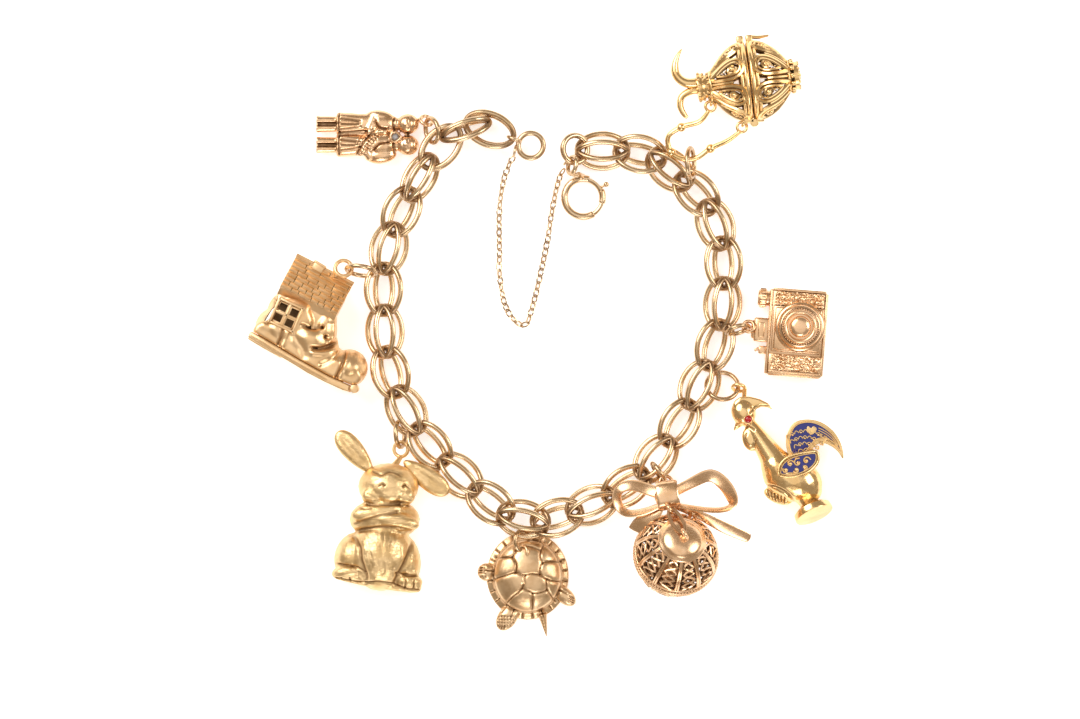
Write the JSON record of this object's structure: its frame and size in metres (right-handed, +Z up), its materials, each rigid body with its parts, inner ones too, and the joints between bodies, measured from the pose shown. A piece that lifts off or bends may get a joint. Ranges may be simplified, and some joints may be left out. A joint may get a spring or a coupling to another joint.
{
  "type": "charm link bracelet",
  "caption": "Double-link chain bracelet with a spring-ring clasp, a fine safety chain and small figural charms on jump rings, laid open.",
  "frame": {"origin": "middle of the laid-out bracelet's outline, on the surface it lies on", "axes": "+Z up out of the surface, +Y from the middle of the bracelet towards its open ends, +X towards the clasp end's side"},
  "size_m": [0.0968, 0.098, 0.0155],
  "materials": {
    "chain_gold": "worn polished nine-carat yellow gold, dark in the joints",
    "rose_gold": "warm rose-toned gold, polished high spots and brushed ground",
    "yellow_gold": "bright polished yellow gold; the rooster's wing and tail carry blue enamel",
    "satin_gold": "fine satin gold with soft highlights"
  },
  "bodies": {
    "bracelet": {"link_01": "chain_gold", "link_02": "chain_gold", "link_03": "chain_gold", "link_04": "chain_gold", "link_05": "chain_gold", "link_06": "chain_gold", "link_07": "chain_gold", "link_08": "chain_gold", "link_09": "chain_gold", "link_10": "chain_gold", "link_11": "chain_gold", "link_12": "chain_gold", "link_13": "chain_gold", "link_14": "chain_gold", "link_15": "chain_gold", "link_16": "chain_gold", "link_17": "chain_gold", "link_18": "chain_gold", "link_19": "chain_gold", "link_20": "chain_gold", "link_21": "chain_gold", "link_22": "chain_gold", "link_23": "chain_gold", "link_24": "chain_gold", "link_25": "chain_gold", "link_26": "chain_gold", "link_27": "chain_gold", "link_28": "chain_gold", "end_ring_left": "chain_gold", "end_ring_right": "chain_gold", "spring_ring_case": "chain_gold", "safety_chain": "chain_gold", "couple_ring": "chain_gold", "shoe_ring": "chain_gold", "rabbit_ring": "chain_gold", "turtle_ring": "chain_gold", "bauble_ring": "chain_gold", "rooster_bail": "chain_gold", "camera_ring": "chain_gold", "vessel_ring": "chain_gold", "couple_charm": "rose_gold", "shoe_upper": "rose_gold", "bauble_ball": "rose_gold", "bauble_link": "rose_gold", "bauble_bow": "rose_gold", "camera_charm": "rose_gold", "rooster_charm": "yellow_gold", "vessel_neck_half": "yellow_gold", "vessel_bail": "yellow_gold", "rabbit_charm": "satin_gold", "turtle_charm": "satin_gold"},
    "clasp_bolt": {"spring_ring_bolt": "chain_gold"},
    "boot_sole": {"shoe_sole": "rose_gold"},
    "flask_foot": {"vessel_foot_half": "yellow_gold"}
  },
  "joints": [
    {"name": "clasp_slide", "type": "hinge", "parent": "bracelet", "child": "clasp_bolt", "pos_m": [0.00624, 0.02217, 0.00064], "axis": [0, 0, 1], "range_deg": [0, 38], "stiffness_Nm_per_rad": 0.0002, "springref_deg": -11.46},
    {"name": "boot_opens", "type": "hinge", "parent": "bracelet", "child": "boot_sole", "pos_m": [-0.03094, -0.00896, 0.0033], "axis": [0, 0, 1], "range_deg": [0, 60]},
    {"name": "flask_opens", "type": "hinge", "parent": "bracelet", "child": "flask_foot", "pos_m": [0.0339, 0.03414, 0.0066], "axis": [0, 0, 1], "range_deg": [-95, 0]}
  ]
}
